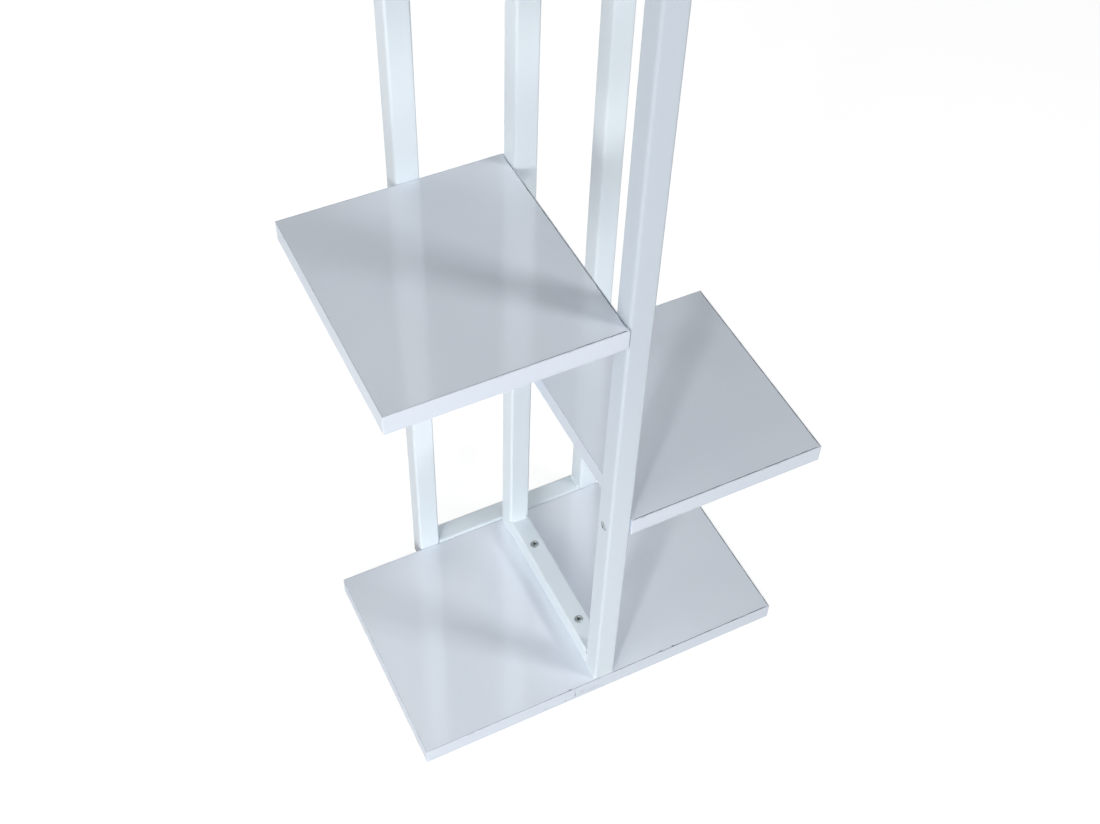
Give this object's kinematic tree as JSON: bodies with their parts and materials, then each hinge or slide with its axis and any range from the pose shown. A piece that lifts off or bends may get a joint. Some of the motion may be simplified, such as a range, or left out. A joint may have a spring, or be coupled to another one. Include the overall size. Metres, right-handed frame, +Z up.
{
  "type": "plant stand",
  "caption": "Tall white plant stand: small shelves step up left and right of a welded square-tube frame on a wide base board",
  "frame": {"origin": "on the floor, under the middle of the overall box", "axes": "+X to the right seen from the front, +Y to the back frame, +Z up along the posts"},
  "size_m": [0.384, 0.224, 1.204],
  "materials": {
    "melamine_board": "satin white melamine facing on chipboard",
    "edge_band": "thin satin white plastic edge band",
    "powder_coated_steel": "satin white powder coat",
    "zinc_screw": "bright zinc plate",
    "foot_plastic": "moulded dark grey plastic",
    "plug_plastic": "moulded white plastic"
  },
  "bodies": {
    "root": {"base_board": "melamine_board", "lower_right_shelf": "melamine_board", "middle_left_shelf": "melamine_board", "upper_right_shelf": "melamine_board", "upper_left_shelf": "melamine_board", "base_edge_bands": "edge_band", "lower_right_edge_bands": "edge_band", "middle_left_edge_bands": "edge_band", "upper_right_edge_bands": "edge_band", "upper_left_edge_bands": "edge_band", "centre_post_front": "powder_coated_steel", "centre_post_back": "powder_coated_steel", "centre_rail_bottom": "powder_coated_steel", "centre_rail_top": "powder_coated_steel", "back_post_left": "powder_coated_steel", "back_post_right": "powder_coated_steel", "back_rail_bottom": "powder_coated_steel", "back_rail_top": "powder_coated_steel", "base_rail_screws": "zinc_screw", "base_back_screws": "zinc_screw", "lower_right_screws": "zinc_screw", "middle_left_screws": "zinc_screw", "upper_right_screws": "zinc_screw", "upper_left_screws": "zinc_screw", "frame_joining_screw": "zinc_screw", "post_feet": "foot_plastic", "base_glides": "foot_plastic", "post_top_plugs": "plug_plastic"}
  },
  "joints": []
}
